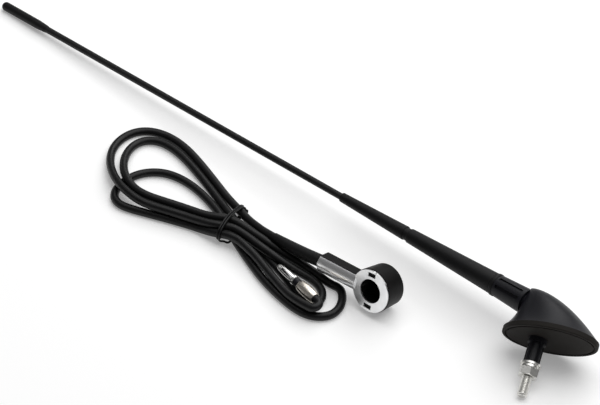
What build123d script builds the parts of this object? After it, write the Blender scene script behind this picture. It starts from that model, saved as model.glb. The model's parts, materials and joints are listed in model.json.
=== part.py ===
from build123d import *
import math
import os

# A car's roof antenna with its separate lead, both lying on a flat surface. Millimetres throughout.
# The antenna is modelled as it stands on a roof: z up from the gasket's underside on the stud's axis,
# x towards the housing's low front. It is then laid down on its mast tip, stud end and gasket edge.

# Mast, measured along its own axis
MAST_LENGTH = 403.4
MAST_RAKE = 21.3
TIP_RADIUS = 2.8
TIP_LENGTH = 38.5
TIP_TAPER = 7.5
ROD_RADIUS = 2.05
CORE_RADIUS = 1.5
CORE_END_COVER = 8.0
UPPER_SLEEVE_LENGTH = 49.3
UPPER_SLEEVE_RADIUS = 4.22
UPPER_SLEEVE_END_RADIUS = 2.85
WAIST_WIDTH = 3.0
WAIST_RADIUS = 3.75
GRIP_LENGTH = 64.0
GRIP_RADIUS = 6.33
GRIP_END_RADIUS = 4.35
GRIP_EDGE = 0.6
GRIP_SHOULDER = 6.0
FERRULE_RADIUS = 3.3
FERRULE_NOSE_RADIUS = 2.6
FERRULE_NOSE_LENGTH = 25.0
FERRULE_BORE_DEPTH = 30.0
SCREW_RADIUS = 2.5
SCREW_LENGTH = 9.0
SCREW_CHAMFER = 0.5
SEAL_THICKNESS = 2.5
SEAL_RADIUS = 6.75
SEAL_EDGE = 0.7
RUNNING_CLEARANCE = 0.05

# Stem that carries the mast out of the housing
STEM_LENGTH = 20.6
STEM_ROOT_RADIUS = 7.5
STEM_TOP_RADIUS = 6.43
STEM_SHANK_RADIUS = 5.4
STEM_SHANK_LENGTH = 11.0
STEM_RIB_WIDTH = 3.2
STEM_RIB_GROOVE = 1.7
STEM_RIB_DEPTH = 0.9
STEM_RIB_MARGIN = 1.5
SOCKET_RADIUS = 4.2
SOCKET_DEPTH = 16.0
SOCKET_BORE_DEPTH = 11.0
SOCKET_TAIL_RADIUS = 1.8

# Housing: plan ellipses stacked up its height, each with its front end, rear end and half width
HOUSING_FRONT = 35.0
HOUSING_REAR = 21.0
HOUSING_HALF_WIDTH = 18.8
HOUSING_HEIGHT = 27.0
HOUSING_WALL = 2.4
HOUSING_CREST = -11.3
HOUSING_SHARES = (0.0, 0.06, 0.14, 0.24, 0.36, 0.52, 0.68, 0.82, 0.92, 0.97, 0.995)
FRONT_CURVE = 0.59
REAR_CURVE = 0.36
SIDE_CURVE = 0.476
RIM_FLARE = 2.4
FLARE_CURVE = 5.5
REAR_HOLLOW = 1.9
MAST_ROOT_X = -13.1
MAST_ROOT_Z = 21.7
HOOD_LIP = 0.8
HOOD_WEB = 2.4
STEM_CLEARANCE = 0.2

# Base plate, gasket and clamp stud
GASKET_THICKNESS = 3.0
GASKET_LIP = 0.3
GASKET_EDGE = 0.6
GASKET_BEAD = 1.7
GASKET_GROOVE = 1.0
GASKET_GROOVE_DEPTH = 0.8
PLATE_THICKNESS = 2.5
PLATE_CLEARANCE = 0.2
BOSS_RADIUS = 8.0
BOSS_HEIGHT = 1.8
SPIGOT_RADIUS = 4.7
SPIGOT_LENGTH = 15.5
SPIGOT_CHAMFER = 0.6
SPIGOT_CLEARANCE = 0.15
SPIGOT_COLLAR_RADIUS = 5.3
SPIGOT_COLLAR_HEIGHT = 3.0
SPIGOT_NECK_RADIUS = 4.1
SPIGOT_NECK_HEIGHT = 1.2
FLUTE_COUNT = 8
FLUTE_WIDTH = 1.2
FLUTE_DEPTH = 0.5
STUD_RADIUS = 3.0
STUD_REACH = 35.2
STUD_CHAMFER = 0.8
STUD_HEAD_RADIUS = 4.8
STUD_HEAD_HEIGHT = 2.6
STRAP_THICKNESS = 0.8
STRAP_WIDTH = 7.0
STRAP_CLEARANCE = 0.4
WASHER_RADIUS = 6.0
WASHER_THICKNESS = 1.2
WASHER_CLEARANCE = 0.2
SPRING_RADIUS = 5.4
SPRING_THICKNESS = 1.6
SPRING_SPLIT = 0.9
SPRING_SPLIT_ANGLE = 30.0
NUT_ACROSS_FLATS = 10.0
NUT_THICKNESS = 5.0
NUT_CROWN = 30.0

# Foot of the lead: a drum that the spigot enters, with an arm to the cable
FOOT_RADIUS = 13.2
FOOT_BACK_RADIUS = 12.3
FOOT_DEPTH = 15.5
FOOT_BORE_RADIUS = 7.2
FOOT_FLOOR = 3.5
FOOT_EDGE = 1.2
ARM_REACH = 40.0
ARM_WIDTH = 9.6
ARM_THICKNESS = 8.0
ARM_EDGE = 1.0
PLATE_METAL = 1.0
RING_MARGIN = 0.4
SLOT_LENGTH = 5.2
SLOT_WIDTH = 2.6
SLOT_ANGLE = 87.0
STRIP_RADIUS = 5.8
STRIP_CROWN = 1.3
STRIP_LAP = 1.5
CONTACT_THICKNESS = 1.5
CONTACT_RADIUS = 6.2
CABLE_DEPTH = 2.0
BOOT_LENGTH = 30.0
BOOT_RADIUS = 3.2
BOOT_END_RADIUS = 2.8
BOOT_DROOP = 10.0

# Where the lead lies, from the floor point under the middle of the antenna's seat
FOOT_PLACE = (-94.7, -34.2)
FOOT_TILT = 16.0
PLUG_TIP_PLACE = (-156.8, -47.2, 8.5)
PLUG_TURN = -10.0

# Aerial plug
PIN_RADIUS = 1.75
PIN_LENGTH = 15.0
COLLAR_RADIUS = 3.0
COLLAR_LENGTH = 1.5
INSULATOR_RADIUS = 2.5
INSULATOR_LENGTH = 4.0
SHELL_RADIUS = 3.55
SHELL_LENGTH = 18.0
SHELL_WALL = 0.8
SHELL_EDGE = 1.2
PLUG_SEAL_LENGTH = 1.5

# Cable, its hank and the tie round it
CABLE_RADIUS = 2.4
ARC_SHARE = 0.45
HANK_LAYERS = 2
TIE_PLACE = (-202.0, -38.4)
HANK_WAIST_RADIUS = 14.8
LEFT_FAR_LOOP = (-279.5, -26.5, 24.0)
LEFT_NEAR_LOOP = (-259.5, -55.5, 15.2)
RIGHT_LOOP = (-123.2, -47.0, 18.5)
LEFT_BAND = 13.0
RIGHT_BAND = 12.5
TIE_WIDTH = 2.4
TIE_THICKNESS = 1.0
LEAD_POINTS = [
    (-177.5, -31.7, 7.6),
    (-186.3, -30.3, 6.0),
    (-194.3, -28.5, 4.6),
]
TAIL_POINTS = [
    (-112.9, -54.9, 8.5),
    (-110.7, -58.2, 8.5),
    (-111.4, -62.1, 8.3),
    (-114.7, -64.2, 8.0),
    (-131.5, -61.4, 7.3),
    (-154.3, -55.3, 7.1),
    (-177.4, -48.2, 7.5),
    (-193.8, -48.5, 7.2),
]

# Stations along the mast's axis, from the point where it leaves the housing
SEAL_TOP = STEM_LENGTH + SEAL_THICKNESS
GRIP_TOP = SEAL_TOP + GRIP_LENGTH
COLLAR_TOP = GRIP_TOP - GRIP_SHOULDER
SLEEVE_START = GRIP_TOP + WAIST_WIDTH
SLEEVE_END = SLEEVE_START + UPPER_SLEEVE_LENGTH
NOSE_END = SLEEVE_START + FERRULE_NOSE_LENGTH
MAST_END = STEM_LENGTH + MAST_LENGTH
CAP_START = MAST_END - TIP_LENGTH
ROD_END = CAP_START + TIP_LENGTH / 3
CORE_START = NOSE_END - FERRULE_BORE_DEPTH
CORE_END = MAST_END - CORE_END_COVER
SOCKET_FLOOR = STEM_LENGTH - SOCKET_DEPTH

# Heights above the seat
PLATE_TOP = GASKET_THICKNESS + PLATE_THICKNESS
BOSS_TOP = PLATE_TOP + BOSS_HEIGHT
STRAP_X = STUD_HEAD_RADIUS + STRAP_CLEARANCE
WASHER_TOP = -SPIGOT_LENGTH
SPRING_TOP = WASHER_TOP - WASHER_THICKNESS
NUT_TOP = SPRING_TOP - SPRING_THICKNESS
NUT_BOTTOM = NUT_TOP - NUT_THICKNESS

RAKE_COS = math.cos(math.radians(MAST_RAKE))
RAKE_SIN = math.sin(math.radians(MAST_RAKE))
MAST_AXIS = Vector(-RAKE_COS, 0, RAKE_SIN)
MAST_PLANE = Plane(origin=(MAST_ROOT_X, 0, MAST_ROOT_Z), x_dir=(RAKE_SIN, 0, RAKE_COS), z_dir=MAST_AXIS)
MAST = MAST_PLANE.location


def turned(*corners):
    """A solid of revolution about Z, from the (radius, height) corners of its half section."""
    edge = Polyline(*[(radius, 0, height) for radius, height in corners], close=True)
    return revolve(make_face(edge), Axis.Z)


def bored(solid, radius, bottom, top):
    """The solid with a round hole about Z between two heights."""
    return solid - Pos(0, 0, (bottom + top) / 2) * Cylinder(radius, top - bottom)


def rounded_ends(solid, radius):
    """The turned solid with its lowest and highest outer edges rounded."""
    levels = solid.edges().filter_by(GeomType.CIRCLE).group_by(Axis.Z)
    outer = [max(level, key=lambda ring: ring.radius) for level in (levels[0], levels[-1])]
    return fillet(outer, radius)


def tip_cap():
    shoulder = CAP_START + TIP_TAPER
    dome = MAST_END - TIP_RADIUS
    mouth = ROD_RADIUS + (TIP_RADIUS - ROD_RADIUS) / 3
    body = turned((0, CAP_START), (mouth, CAP_START), (TIP_RADIUS, shoulder), (TIP_RADIUS, dome), (0, dome))
    body += Pos(0, 0, dome) * Sphere(TIP_RADIUS)
    body = bored(body, ROD_RADIUS, CAP_START, ROD_END)
    return bored(body, CORE_RADIUS, ROD_END, CORE_END)


def mast_core():
    return Pos(0, 0, (CORE_START + CORE_END) / 2) * Cylinder(CORE_RADIUS, CORE_END - CORE_START)


def rod_sleeve():
    tube = Pos(0, 0, (NOSE_END + ROD_END) / 2) * Cylinder(ROD_RADIUS, ROD_END - NOSE_END)
    return bored(tube, CORE_RADIUS, NOSE_END, ROD_END)


def upper_sleeve():
    cone = turned(
        (0, SLEEVE_START),
        (UPPER_SLEEVE_RADIUS, SLEEVE_START),
        (UPPER_SLEEVE_END_RADIUS, SLEEVE_END),
        (0, SLEEVE_END),
    )
    edge = min(GRIP_EDGE, (UPPER_SLEEVE_END_RADIUS - ROD_RADIUS) / 2)
    cone = rounded_ends(cone, edge)
    cone = bored(cone, FERRULE_NOSE_RADIUS, SLEEVE_START, NOSE_END)
    return bored(cone, ROD_RADIUS, NOSE_END, SLEEVE_END)


def grip():
    cone = turned((0, SEAL_TOP), (GRIP_RADIUS, SEAL_TOP), (GRIP_END_RADIUS, GRIP_TOP), (0, GRIP_TOP))
    cone = rounded_ends(cone, GRIP_EDGE)
    neck = Pos(0, 0, (GRIP_TOP + SLEEVE_START) / 2) * Cylinder(WAIST_RADIUS, WAIST_WIDTH)
    body = bored(cone + neck, FERRULE_RADIUS, SEAL_TOP, COLLAR_TOP)
    return bored(body, FERRULE_NOSE_RADIUS, COLLAR_TOP, SLEEVE_START)


def mast_ferrule():
    screw_end = STEM_LENGTH - SCREW_LENGTH
    turning = turned(
        (0, screw_end),
        (SCREW_RADIUS - SCREW_CHAMFER, screw_end),
        (SCREW_RADIUS, screw_end + SCREW_CHAMFER),
        (SCREW_RADIUS, SEAL_TOP),
        (FERRULE_RADIUS, SEAL_TOP),
        (FERRULE_RADIUS, COLLAR_TOP),
        (FERRULE_NOSE_RADIUS, COLLAR_TOP),
        (FERRULE_NOSE_RADIUS, NOSE_END),
        (0, NOSE_END),
    )
    return bored(turning, CORE_RADIUS, CORE_START, NOSE_END)


def mast_seal():
    ring = Pos(0, 0, STEM_LENGTH + SEAL_THICKNESS / 2) * Cylinder(SEAL_RADIUS, SEAL_THICKNESS)
    ring = rounded_ends(ring, SEAL_EDGE)
    return bored(ring, SCREW_RADIUS + RUNNING_CLEARANCE, STEM_LENGTH, SEAL_TOP)


def stem():
    body = turned(
        (0, -STEM_SHANK_LENGTH),
        (STEM_SHANK_RADIUS, -STEM_SHANK_LENGTH),
        (STEM_SHANK_RADIUS, 0),
        (STEM_ROOT_RADIUS, 0),
        (STEM_TOP_RADIUS, STEM_LENGTH),
        (0, STEM_LENGTH),
    )
    skin = turned(
        (STEM_ROOT_RADIUS - STEM_RIB_DEPTH, 0),
        (STEM_ROOT_RADIUS + STEM_RIB_DEPTH, 0),
        (STEM_TOP_RADIUS + STEM_RIB_DEPTH, STEM_LENGTH),
        (STEM_TOP_RADIUS - STEM_RIB_DEPTH, STEM_LENGTH),
    )
    middle = (HOOD_LIP + STEM_LENGTH) / 2
    length = STEM_LENGTH - HOOD_LIP - 2 * STEM_RIB_MARGIN
    offset = (STEM_RIB_WIDTH + STEM_RIB_GROOVE) / 2
    for place in (-offset, offset):
        body -= skin & Pos(place, 0, middle) * Box(STEM_RIB_GROOVE, 4 * STEM_ROOT_RADIUS, length)
    body = bored(body, SOCKET_RADIUS, SOCKET_FLOOR, STEM_LENGTH)
    return bored(body, SOCKET_TAIL_RADIUS, -STEM_SHANK_LENGTH, SOCKET_FLOOR)


def mast_socket():
    tail_end = -2 * (STRAP_X - MAST_ROOT_X)
    insert = turned(
        (0, tail_end),
        (SOCKET_TAIL_RADIUS, tail_end),
        (SOCKET_TAIL_RADIUS, SOCKET_FLOOR),
        (SOCKET_RADIUS, SOCKET_FLOOR),
        (SOCKET_RADIUS, STEM_LENGTH),
        (0, STEM_LENGTH),
    )
    bore_floor = STEM_LENGTH - SOCKET_BORE_DEPTH
    insert = MAST * bored(insert, SCREW_RADIUS + RUNNING_CLEARANCE, bore_floor, STEM_LENGTH)
    beyond = -2 * tail_end
    return insert - Pos(STRAP_X + beyond / 2, 0, 0) * Box(beyond, beyond, 2 * beyond)


def contact_strap():
    tail_z = MAST_ROOT_Z - (STRAP_X - MAST_ROOT_X) * RAKE_SIN / RAKE_COS
    top = tail_z + 2 * SOCKET_TAIL_RADIUS
    right = STRAP_X + STRAP_THICKNESS
    length = right + STUD_HEAD_RADIUS
    height = top - BOSS_TOP
    foot_top = BOSS_TOP + STRAP_THICKNESS
    foot = Pos(right - length / 2, 0, (BOSS_TOP + foot_top) / 2) * Box(length, STRAP_WIDTH, STRAP_THICKNESS)
    upright = Box(STRAP_THICKNESS, STRAP_WIDTH, height)
    upright = Pos(right - STRAP_THICKNESS / 2, 0, BOSS_TOP + height / 2) * upright
    return bored(foot + upright, STUD_RADIUS, BOSS_TOP, foot_top)


def housing_outline(share, wall):
    """Ellipse of the housing in plan at a share of its height, drawn in by a wall."""
    left = 1 - share
    flare = RIM_FLARE * left**FLARE_CURVE
    front = HOUSING_CREST + (HOUSING_FRONT - HOUSING_CREST) * left**FRONT_CURVE - wall
    rear = HOUSING_CREST - (HOUSING_REAR - RIM_FLARE + HOUSING_CREST) * left**REAR_CURVE - flare + wall
    rear += REAR_HOLLOW * math.sin(math.pi * share)
    half_width = (HOUSING_HALF_WIDTH - RIM_FLARE) * left**SIDE_CURVE + flare - wall
    return Pos((front + rear) / 2, 0) * Ellipse((front - rear) / 2, half_width)


def housing_section(share, wall):
    """The housing's outline, lifted to its height."""
    return Pos(0, 0, GASKET_THICKNESS + share * (HOUSING_HEIGHT - wall)) * housing_outline(share, wall)


def beyond_mast_plane(station):
    """Everything on the mast's side of the plane square to the mast at a station."""
    size = 4 * HOUSING_FRONT
    return MAST * Pos(0, 0, station + size / 2) * Box(size, size, size)


def housing():
    outside = loft([housing_section(share, 0) for share in HOUSING_SHARES])
    inside = loft([housing_section(share, HOUSING_WALL) for share in HOUSING_SHARES[:-2]])
    shell = outside - beyond_mast_plane(HOOD_LIP) - (inside - beyond_mast_plane(-HOOD_WEB))
    recess = Pos(0, 0, HOOD_LIP) * Cylinder(STEM_ROOT_RADIUS + STEM_CLEARANCE, 2 * HOOD_LIP)
    shank_hole = Cylinder(STEM_SHANK_RADIUS, 2 * STEM_SHANK_LENGTH)
    return shell - MAST * recess - MAST * shank_hole


def gasket_outline(margin):
    """Ellipse of the gasket in plan, drawn in by a margin."""
    middle = (HOUSING_FRONT - HOUSING_REAR) / 2
    long_half = (HOUSING_FRONT + HOUSING_REAR) / 2 + GASKET_LIP - margin
    return Pos(middle, 0, 0) * Ellipse(long_half, HOUSING_HALF_WIDTH + GASKET_LIP - margin)


def gasket():
    pad = extrude(gasket_outline(0), GASKET_THICKNESS)
    pad = fillet(pad.edges().group_by(Axis.Z)[0], GASKET_EDGE)
    groove = gasket_outline(GASKET_BEAD) - gasket_outline(GASKET_BEAD + GASKET_GROOVE)
    pad -= extrude(groove, GASKET_GROOVE_DEPTH)
    return bored(pad, SPIGOT_COLLAR_RADIUS + SPIGOT_CLEARANCE, 0, GASKET_THICKNESS)


def spigot():
    """The round post through the roof: a collar at its root, a neck, and a fluted end."""
    flutes_top = -SPIGOT_COLLAR_HEIGHT - SPIGOT_NECK_HEIGHT
    post = turned(
        (0, -SPIGOT_LENGTH),
        (SPIGOT_RADIUS - SPIGOT_CHAMFER, -SPIGOT_LENGTH),
        (SPIGOT_RADIUS, SPIGOT_CHAMFER - SPIGOT_LENGTH),
        (SPIGOT_RADIUS, flutes_top),
        (SPIGOT_NECK_RADIUS, flutes_top),
        (SPIGOT_NECK_RADIUS, -SPIGOT_COLLAR_HEIGHT),
        (SPIGOT_COLLAR_RADIUS, -SPIGOT_COLLAR_HEIGHT),
        (SPIGOT_COLLAR_RADIUS, GASKET_THICKNESS),
        (0, GASKET_THICKNESS),
    )
    length = SPIGOT_LENGTH + flutes_top
    cutter = Pos(SPIGOT_RADIUS, 0, flutes_top - length / 2) * Box(2 * FLUTE_DEPTH, FLUTE_WIDTH, length)
    for turn in range(FLUTE_COUNT):
        post -= Rot(0, 0, 360 * turn / FLUTE_COUNT) * cutter
    return post


def base_plate():
    top_share = PLATE_THICKNESS / (HOUSING_HEIGHT - HOUSING_WALL)
    margin = HOUSING_WALL + PLATE_CLEARANCE
    plan = housing_outline(0, margin) & housing_outline(top_share, margin)
    plate = extrude(Pos(0, 0, GASKET_THICKNESS) * plan, PLATE_THICKNESS)
    plate -= beyond_mast_plane(-HOOD_WEB - PLATE_CLEARANCE)
    plate += Pos(0, 0, (PLATE_TOP + BOSS_TOP) / 2) * Cylinder(BOSS_RADIUS, BOSS_HEIGHT)
    return bored(plate + spigot(), STUD_RADIUS, -SPIGOT_LENGTH, BOSS_TOP)


def stud():
    head = BOSS_TOP + STRAP_THICKNESS
    return turned(
        (0, -STUD_REACH),
        (STUD_RADIUS - STUD_CHAMFER, -STUD_REACH),
        (STUD_RADIUS, STUD_CHAMFER - STUD_REACH),
        (STUD_RADIUS, head),
        (STUD_HEAD_RADIUS, head),
        (STUD_HEAD_RADIUS, head + STUD_HEAD_HEIGHT),
        (0, head + STUD_HEAD_HEIGHT),
    )


def flat_washer():
    disc = Pos(0, 0, (WASHER_TOP + SPRING_TOP) / 2) * Cylinder(WASHER_RADIUS, WASHER_THICKNESS)
    return bored(disc, STUD_RADIUS + WASHER_CLEARANCE, SPRING_TOP, WASHER_TOP)


def spring_washer():
    ring = Pos(0, 0, (SPRING_TOP + NUT_TOP) / 2) * Cylinder(SPRING_RADIUS, SPRING_THICKNESS)
    ring = bored(ring, STUD_RADIUS + WASHER_CLEARANCE, NUT_TOP, SPRING_TOP)
    split = Rot(SPRING_SPLIT_ANGLE, 0, 0) * Box(SPRING_RADIUS, SPRING_SPLIT, 2 * SPRING_THICKNESS)
    return ring - Pos((SPRING_RADIUS + STUD_RADIUS) / 2, 0, (SPRING_TOP + NUT_TOP) / 2) * split


def hex_nut():
    """A hexagon prism whose corners are turned off at both ends."""
    corner = NUT_ACROSS_FLATS / math.sqrt(3)
    flat = NUT_ACROSS_FLATS / 2
    drop = (corner - flat) * math.tan(math.radians(NUT_CROWN))
    prism = Pos(0, 0, NUT_BOTTOM) * extrude(RegularPolygon(corner, 6), NUT_THICKNESS)
    crown = turned(
        (0, NUT_BOTTOM),
        (flat, NUT_BOTTOM),
        (corner, NUT_BOTTOM + drop),
        (corner, NUT_TOP - drop),
        (flat, NUT_TOP),
        (0, NUT_TOP),
    )
    return bored(prism & crown, STUD_RADIUS + RUNNING_CLEARANCE, NUT_BOTTOM, NUT_TOP)


def lying_plane():
    """The floor, as the antenna sees it: the plane that touches its mast tip, stud end and gasket edge."""
    tip_centre = MAST_PLANE.origin + MAST_AXIS * (MAST_END - TIP_RADIUS)
    middle = (HOUSING_FRONT - HOUSING_REAR) / 2
    rim_length = (HOUSING_FRONT + HOUSING_REAR) / 2 + GASKET_LIP
    rim_width = HOUSING_HALF_WIDTH + GASKET_LIP
    down = Vector(0.2, 0.9, -0.4).normalized()
    for _ in range(60):
        tip = tip_centre + down * TIP_RADIUS
        across = Vector(down.X, down.Y, 0).normalized()
        stud_end = across * STUD_RADIUS + Vector(0, 0, STUD_CHAMFER - STUD_REACH)
        reach = math.hypot(rim_length * across.X, rim_width * across.Y)
        rim = Vector(middle + rim_length**2 * across.X / reach, rim_width**2 * across.Y / reach, GASKET_EDGE)
        normal = (stud_end - tip).cross(rim - tip).normalized()
        down = normal if normal.dot(down) > 0 else -normal
    under_seat = down * (tip.dot(down))
    along = -MAST_AXIS
    along -= down * along.dot(down)
    return Plane(origin=under_seat, x_dir=along, z_dir=-down)


LAID_DOWN = lying_plane().location.inverse()

# Foot of the lead: z out of the ring's face, x along the arm
FOOT_BACK_HEIGHT = FOOT_BACK_RADIUS * math.cos(math.radians(FOOT_TILT))
FOOT_CENTRE_HEIGHT = FOOT_BACK_HEIGHT + FOOT_DEPTH * math.sin(math.radians(FOOT_TILT))
FOOT_NORMAL = Vector(0, -math.cos(math.radians(FOOT_TILT)), math.sin(math.radians(FOOT_TILT)))
FOOT_PLANE = Plane(origin=(*FOOT_PLACE, FOOT_CENTRE_HEIGHT), x_dir=(-1, 0, 0), z_dir=FOOT_NORMAL)
FOOT = FOOT_PLANE.location
ARM_MIDDLE = -PLATE_METAL - ARM_THICKNESS / 2
CONTACT_FLOOR = FOOT_FLOOR - FOOT_DEPTH
BORE_FLOOR = CONTACT_FLOOR + CONTACT_THICKNESS


def arm_crown(radius, start):
    """The part above the arm of a long round bar about the strip's middle, from a start along the arm."""
    length = ARM_REACH - ARM_EDGE - start
    bar = Pos(start + length / 2, 0, STRIP_CROWN - STRIP_RADIUS) * Rot(0, 90, 0) * Cylinder(radius, length)
    return bar & Pos(0, 0, ARM_REACH - PLATE_METAL) * Box(4 * ARM_REACH, 2 * ARM_REACH, 2 * ARM_REACH)


def foot_body():
    drum = turned(
        (0, -FOOT_DEPTH),
        (FOOT_BACK_RADIUS, -FOOT_DEPTH),
        (FOOT_RADIUS, -PLATE_METAL),
        (0, -PLATE_METAL),
    )
    drum = fillet(drum.edges().filter_by(GeomType.CIRCLE).sort_by(Axis.Z)[0], FOOT_EDGE)
    arm = Pos(ARM_REACH / 2, 0, ARM_MIDDLE) * Box(ARM_REACH, ARM_WIDTH, ARM_THICKNESS)
    end_edges = arm.faces().sort_by(Axis.X)[-1].edges()
    back_edges = arm.edges().filter_by(Axis.X).group_by(Axis.Z)[0]
    arm = fillet(end_edges + back_edges, ARM_EDGE)
    ridge = arm_crown(STRIP_RADIUS - PLATE_METAL, FOOT_RADIUS)
    body = bored(drum + arm + ridge, FOOT_BORE_RADIUS, BORE_FLOOR, 0)
    body = bored(body, CONTACT_RADIUS, CONTACT_FLOOR, BORE_FLOOR)
    return bored(body, STUD_RADIUS + WASHER_CLEARANCE, -FOOT_DEPTH, CONTACT_FLOOR)


def contact_plate():
    """A flat ring with two slots and an arched strip that covers the cable along the arm."""
    ring_radius = FOOT_RADIUS - RING_MARGIN
    plan = Circle(ring_radius) - Circle(FOOT_BORE_RADIUS)
    slot_radius = (ring_radius + FOOT_BORE_RADIUS) / 2
    for angle in (-SLOT_ANGLE, SLOT_ANGLE):
        plan -= Rot(0, 0, angle) * Pos(slot_radius, 0) * Rectangle(SLOT_WIDTH, SLOT_LENGTH)
    ring = Pos(0, 0, -PLATE_METAL) * extrude(plan, PLATE_METAL)
    start = ring_radius - STRIP_LAP
    return ring + (arm_crown(STRIP_RADIUS, start) - arm_crown(STRIP_RADIUS - PLATE_METAL, FOOT_RADIUS))


def foot_contact():
    disc = Pos(0, 0, CONTACT_FLOOR + CONTACT_THICKNESS / 2) * Cylinder(CONTACT_RADIUS, CONTACT_THICKNESS)
    return bored(disc, STUD_RADIUS + WASHER_CLEARANCE, CONTACT_FLOOR, BORE_FLOOR)


# Cable where it leaves the arm: it droops towards the floor
ARM_END = FOOT_PLANE.from_local_coords(Vector(ARM_REACH, 0, -CABLE_DEPTH))
BOOT_AXIS = Vector(-math.cos(math.radians(BOOT_DROOP)), 0, -math.sin(math.radians(BOOT_DROOP)))
BOOT_END = ARM_END + BOOT_AXIS * BOOT_LENGTH


def cable_boot():
    root = -BOOT_RADIUS
    cone = turned((0, root), (BOOT_RADIUS, root), (BOOT_END_RADIUS, BOOT_LENGTH), (0, BOOT_LENGTH))
    cone = Plane(origin=ARM_END, z_dir=BOOT_AXIS) * cone
    return cone - Pos(ARM_END.X + BOOT_LENGTH, ARM_END.Y, ARM_END.Z) * Box(*[2 * BOOT_LENGTH] * 3)


# Plug: z from the tip of its pin to the cable
PLUG_AXIS = Vector(math.cos(math.radians(PLUG_TURN)), math.sin(math.radians(PLUG_TURN)), 0)
PLUG_PLANE = Plane(origin=PLUG_TIP_PLACE, x_dir=(0, 0, 1), z_dir=PLUG_AXIS)
PLUG = PLUG_PLANE.location
COLLAR_END = PIN_LENGTH + COLLAR_LENGTH
SHELL_START = COLLAR_END + INSULATOR_LENGTH
SHELL_END = SHELL_START + SHELL_LENGTH
SHELL_BORE = SHELL_RADIUS - SHELL_WALL
PLUG_END = SHELL_END + PLUG_SEAL_LENGTH
PIN_TAIL_RADIUS = PIN_RADIUS / 2
INSULATOR_END = SHELL_START + SHELL_LENGTH / 3
SEAL_DEPTH = SHELL_END - SHELL_LENGTH / 3


def plug_pin():
    pin = turned(
        (0, PIN_RADIUS),
        (PIN_RADIUS, PIN_RADIUS),
        (PIN_RADIUS, PIN_LENGTH),
        (COLLAR_RADIUS, PIN_LENGTH),
        (COLLAR_RADIUS, COLLAR_END),
        (PIN_TAIL_RADIUS, COLLAR_END),
        (PIN_TAIL_RADIUS, INSULATOR_END),
        (0, INSULATOR_END),
    )
    return pin + Pos(0, 0, PIN_RADIUS) * Sphere(PIN_RADIUS)


def plug_insulator():
    bush = turned(
        (0, COLLAR_END),
        (INSULATOR_RADIUS, COLLAR_END),
        (INSULATOR_RADIUS, SHELL_START),
        (SHELL_BORE, SHELL_START),
        (SHELL_BORE, INSULATOR_END),
        (0, INSULATOR_END),
    )
    return bored(bush, PIN_TAIL_RADIUS, COLLAR_END, INSULATOR_END)


def plug_shell():
    barrel = Pos(0, 0, (SHELL_START + SHELL_END) / 2) * Cylinder(SHELL_RADIUS, SHELL_LENGTH)
    barrel = rounded_ends(barrel, min(SHELL_EDGE, SHELL_WALL / 2))
    return bored(barrel, SHELL_BORE, SHELL_START, SHELL_END)


def plug_seal():
    return turned(
        (0, SEAL_DEPTH),
        (SHELL_BORE, SEAL_DEPTH),
        (SHELL_BORE, SHELL_END),
        (CABLE_RADIUS, PLUG_END),
        (0, PLUG_END),
    )


def cable_along(name, points):
    """A round cable through the points, with each corner as large an arc as its two runs allow."""
    route = [Vector(*point) for point in points]
    radii = []
    for before, corner, after in zip(route, route[1:], route[2:]):
        turn = (corner - before).get_angle(after - corner)
        shorter = min((corner - before).length, (after - corner).length)
        radii.append(ARC_SHARE * shorter / math.tan(math.radians(turn / 2)))
    path = FilletPolyline(*route, radius=radii)
    start = Plane(origin=path @ 0, z_dir=path % 0)
    tube = sweep(start * Circle(CABLE_RADIUS), path)
    section = math.pi * CABLE_RADIUS**2
    print(name, "arc radii", [round(radius, 1) for radius in radii])
    print(name, "volume", round(tube.volume, 1), "section times length", round(section * path.length, 1))
    return tube


def cable_lead():
    return cable_along("cable_lead", [tuple(BOOT_END), *LEAD_POINTS])


def cable_tail():
    plug_end = PLUG_PLANE.from_local_coords(Vector(0, 0, PLUG_END))
    return cable_along("cable_tail", [tuple(plug_end), *TAIL_POINTS])


def loop_plan(discs, band):
    """A loop of cable in plan: the hull of discs (x, y, radius), open inside its band."""
    outside = make_hull([(Pos(x, y) * Circle(radius)).edge() for x, y, radius in discs])
    return outside - offset(outside, -band)


def cable_hank():
    waist = (*TIE_PLACE, HANK_WAIST_RADIUS)
    layer = 2 * CABLE_RADIUS
    left = extrude(loop_plan([waist, LEFT_FAR_LOOP, LEFT_NEAR_LOOP], LEFT_BAND), HANK_LAYERS * layer)
    right = extrude(loop_plan([waist, RIGHT_LOOP], RIGHT_BAND), layer)
    return left + right


def cable_tie():
    """A flat tie round the hank's waist."""
    width = 2 * (HANK_WAIST_RADIUS + TIE_THICKNESS)
    height = 2 * HANK_LAYERS * CABLE_RADIUS + TIE_THICKNESS
    outer = RectangleRounded(width, height, 2 * TIE_THICKNESS)
    inner = RectangleRounded(width - 2 * TIE_THICKNESS, height - 2 * TIE_THICKNESS, TIE_THICKNESS)
    band = Plane(origin=(*TIE_PLACE, height / 2), x_dir=(0, 1, 0), z_dir=(1, 0, 0))
    return band * Pos(0, 0, -TIE_WIDTH / 2) * extrude(outer - inner, TIE_WIDTH)


ANTENNA = {
    "tip_cap": MAST * tip_cap(),
    "mast_core": MAST * mast_core(),
    "rod_sleeve": MAST * rod_sleeve(),
    "upper_sleeve": MAST * upper_sleeve(),
    "grip": MAST * grip(),
    "mast_ferrule": MAST * mast_ferrule(),
    "mast_seal": MAST * mast_seal(),
    "stem": MAST * stem(),
    "mast_socket": mast_socket(),
    "contact_strap": contact_strap(),
    "housing": housing(),
    "base_plate": base_plate(),
    "gasket": gasket(),
    "stud": stud(),
    "flat_washer": flat_washer(),
    "spring_washer": spring_washer(),
    "hex_nut": hex_nut(),
}
FOOT_PIECES = {
    "foot_body": foot_body(),
    "contact_plate": contact_plate(),
    "foot_contact": foot_contact(),
}
PLUG_PIECES = {
    "plug_pin": plug_pin(),
    "plug_insulator": plug_insulator(),
    "plug_shell": plug_shell(),
    "plug_seal": plug_seal(),
}

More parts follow.
